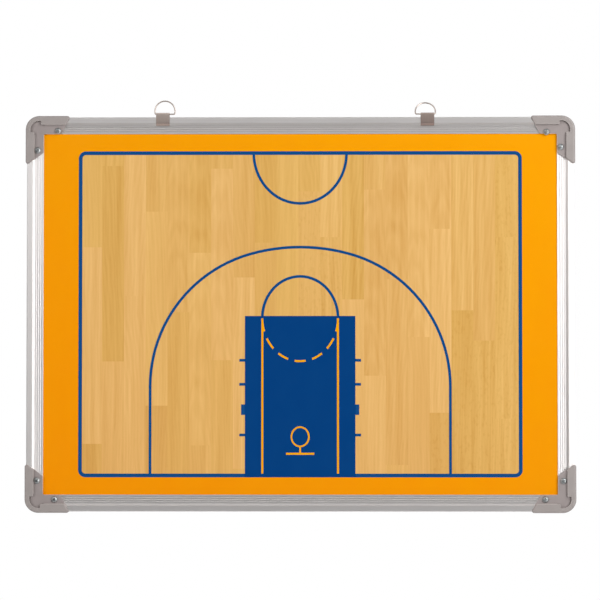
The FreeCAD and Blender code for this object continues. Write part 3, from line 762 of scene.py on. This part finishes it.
def year_rings(tree, wood):
    """Rings round the leaning heart line, a little bent, from -1 to 1."""
    spot = add(tree, "ShaderNodeSeparateXYZ", {"Vector": wood}).outputs
    depth = add(tree, "ShaderNodeMath", {0: spot["Z"], 1: HEART_LEAN, 2: spot["Y"]}, operation="MULTIPLY_ADD")
    from_heart = add(tree, "ShaderNodeCombineXYZ", {"X": spot["X"], "Y": depth})
    radius = add(tree, "ShaderNodeVectorMath", {0: from_heart}, operation="LENGTH")
    count = add(tree, "ShaderNodeMath", {0: radius, 1: RING_SPACING}, operation="DIVIDE")
    warp = mottle(tree, wood, (12, 40, 70))
    bent = add(tree, "ShaderNodeMath", {0: warp, 1: RING_BEND, 2: count}, operation="MULTIPLY_ADD")
    turns = add(tree, "ShaderNodeMath", {0: bent, 1: 2 * math.pi}, operation="MULTIPLY")
    return add(tree, "ShaderNodeMath", {0: turns}, operation="SINE")


print("year rings:", RING_SPACING / MM, "mm apart")

# %% Wood finish
RING_SHARE = 0.06
NOISE_MIDDLE = 0.5
FIGURE_STRENGTH = 1.5


def printed_wood():
    """Pale oiled hardwood, printed: soft bands and streaks along each plank, under a clear gloss."""
    material, tree, shader, place = new_material("wood_print_under_lacquer")
    tone, figure, hue, fleck = (
        add(tree, "ShaderNodeAttribute", attribute_name=name).outputs["Fac"] for name in TRAITS)
    heart = add(tree, "ShaderNodeAttribute", attribute_name="plank_heart").outputs["Vector"]
    wood = add(tree, "ShaderNodeVectorMath", {0: place, 1: heart}, operation="ADD").outputs["Vector"]
    streaks = mottle(tree, wood, (5.5, 40, 170), detail=4)
    pores = mottle(tree, wood, (0.9, 20, 14))
    flecks = mottle(tree, wood, (2.4, 20, 5), detail=1)

    rings = year_rings(tree, wood)
    lines = add(tree, "ShaderNodeMath", {0: rings, 1: RING_SHARE, 2: -NOISE_MIDDLE}, operation="MULTIPLY_ADD")
    drawn = add(tree, "ShaderNodeMath", {0: streaks, 1: lines}, operation="ADD")
    strong = add(tree, "ShaderNodeMath", {0: drawn, 1: figure}, operation="MULTIPLY")
    shaded = add(tree, "ShaderNodeMath", {0: strong, 1: FIGURE_STRENGTH, 2: tone}, operation="MULTIPLY_ADD")
    dark_flecks = add(tree, "ShaderNodeMapRange", {
        "Value": flecks, "From Min": 0.3, "From Max": 0.45, "To Min": 0.18, "To Max": 0.0})
    flecked = add(tree, "ShaderNodeMath", {0: dark_flecks, 1: fleck}, operation="MULTIPLY")
    spotted = add(tree, "ShaderNodeMath", {0: shaded, 1: flecked}, operation="SUBTRACT")
    dark_pores = add(tree, "ShaderNodeMapRange", {
        "Value": pores, "From Min": 0.32, "From Max": 0.42, "To Min": 0.12, "To Max": 0.0})
    depth_of_tone = add(tree, "ShaderNodeMath", {0: spotted, 1: dark_pores}, operation="SUBTRACT")
    dark = add(tree, "ShaderNodeMix", {"Factor": hue, "A": "#D2A151", "B": "#D5A157"}, data_type="RGBA")
    pale = add(tree, "ShaderNodeMix", {"Factor": hue, "A": "#EABF71", "B": "#ECBF7A"}, data_type="RGBA")
    tint = add(tree, "ShaderNodeMix", {"Factor": depth_of_tone, "A": dark, "B": pale},
               data_type="RGBA", clamp_factor=False)
    # Like the orange, the wood is painted darker and redder to the lower left, as shade where light is weaker
    light_falloff_tint = add(tree, "ShaderNodeMix", {"Factor": up_the_board(tree, place), "A": "#FEF5EC", "B": WHITE},
                 data_type="RGBA")
    warm = add(tree, "ShaderNodeMix", {"Factor": 1.0, "A": tint, "B": light_falloff_tint}, data_type="RGBA",
               blend_type="MULTIPLY")
    fill(tree, shader, {"Base Color": warm})
    lacquer(tree, shader, place)
    return material


mesh.materials.append(printed_wood())
piece = new_object("wood_floor_print", mesh)
fasten(piece, "floor_film", "floor_print")
flag(piece)

# %% [markdown]
# ## Hangers
# Two clips of nickel-plated strip hook round the top rail and carry a wire ring each. The strip is rolled, so
# it has fine lines along its length, and its colour is paler at the loop and darker towards the fold. A pure
# metal shader would show only what the strip mirrors, and look black from above, but rolled plate also
# scatters some light, so it is partly matt here. The two clips are one plate, painted as a paler copy on the
# left and a darker one on the right. The drawn wire is brighter.

# %% Hangers
LOOP_HEIGHT = 12 * MM
HEIGHT_SHARE = 0.65


def up_the_strip(tree, place):
    """0 at the clips' fold and 1 at the top of their loops."""
    height = add(tree, "ShaderNodeSeparateXYZ", {"Vector": place}).outputs["Z"]
    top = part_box("left_clip")[1][2]
    return add(tree, "ShaderNodeMapRange", {"Value": height, "From Min": top - LOOP_HEIGHT, "From Max": top})


def nickel_plate(name, dark, pale, smooth, dull, bright, patch, drift=None):
    """Nickel: a warm grey metal, clouded, and where rolling left it less bright, partly matt."""
    material, tree, shader, place = new_material(name)
    cloud = mottle(tree, place, patch, detail=3)
    tone = cloud
    if drift:
        tone = add(tree, "ShaderNodeMix", {"Factor": HEIGHT_SHARE, "A": cloud, "B": drift(tree, place)})
    tint = add(tree, "ShaderNodeMix", {"Factor": tone, "A": dark, "B": pale}, data_type="RGBA")
    rough = add(tree, "ShaderNodeMix", {"Factor": cloud, "A": smooth, "B": dull})
    fill(tree, shader, {"Base Color": tint, "Roughness": rough, "Metallic": bright})
    return material


STRIP = {"smooth": 0.30, "dull": 0.40, "bright": 0.7, "patch": (0.8, 6, 6), "drift": up_the_strip}
WIRE = {"smooth": 0.20, "dull": 0.34, "bright": 1.0, "patch": (4, 4, 4)}
# The same plate twice: a paler painted copy on the left clip and a darker one on the right
dress(nickel_plate("pale_nickel_strip", "#A99890", "#C8BAB2", **STRIP), "left_clip")
dress(nickel_plate("dark_nickel_strip", "#988680", "#B4A39A", **STRIP), "right_clip")
dress(nickel_plate("drawn_nickel_wire", "#B8AAA2", "#CEC1B9", **WIRE), "left_ring", "right_ring")

# %% [markdown]
# ## Back of the panel
# The back sheet is thin steel in grey primer, sprayed, with a faint orange peel. That is too shallow to be
# modelled, so it is a bump. The core of fibreboard and the face sheet hide between the lips of the rails, but
# they get their own finishes, because a part may be taken out of the library and opened.

# %% Back of the panel
def sprayed_primer(name, thin, thick):
    """Sprayed primer on sheet steel: matt, with a fine orange peel."""
    material, tree, shader, place = new_material(name)
    cloud = mottle(tree, place, (60, 60, 60), detail=3)
    tint = add(tree, "ShaderNodeMix", {"Factor": cloud, "A": thin, "B": thick}, data_type="RGBA")
    peel = mottle(tree, place, (2.2, 2.2, 2.2), detail=1)
    bumps = add(tree, "ShaderNodeBump", {"Strength": 0.2, "Distance": 0.1 * MM, "Height": peel})
    fill(tree, shader, {"Base Color": tint, "Roughness": 0.55, "Normal": bumps})
    return material


def pressed_fibre():
    """Fibreboard: brown, matt, flecked with pressed fibres."""
    material, tree, shader, place = new_material("pressed_fibreboard")
    fibre = mottle(tree, place, (1.2, 0.3, 1.2), detail=4)
    tint = add(tree, "ShaderNodeMix", {"Factor": fibre, "A": "#9A7450", "B": "#C09A70"}, data_type="RGBA")
    fill(tree, shader, {"Base Color": tint, "Roughness": 0.9})
    return material


dress(sprayed_primer("grey_primer_on_steel", "#B4B6B8", "#C4C5C6"), "back_sheet")
dress(sprayed_primer("white_primer_on_steel", "#EAEAE8", "#F2F2F0"), "face_sheet")
dress(pressed_fibre(), "core_board")
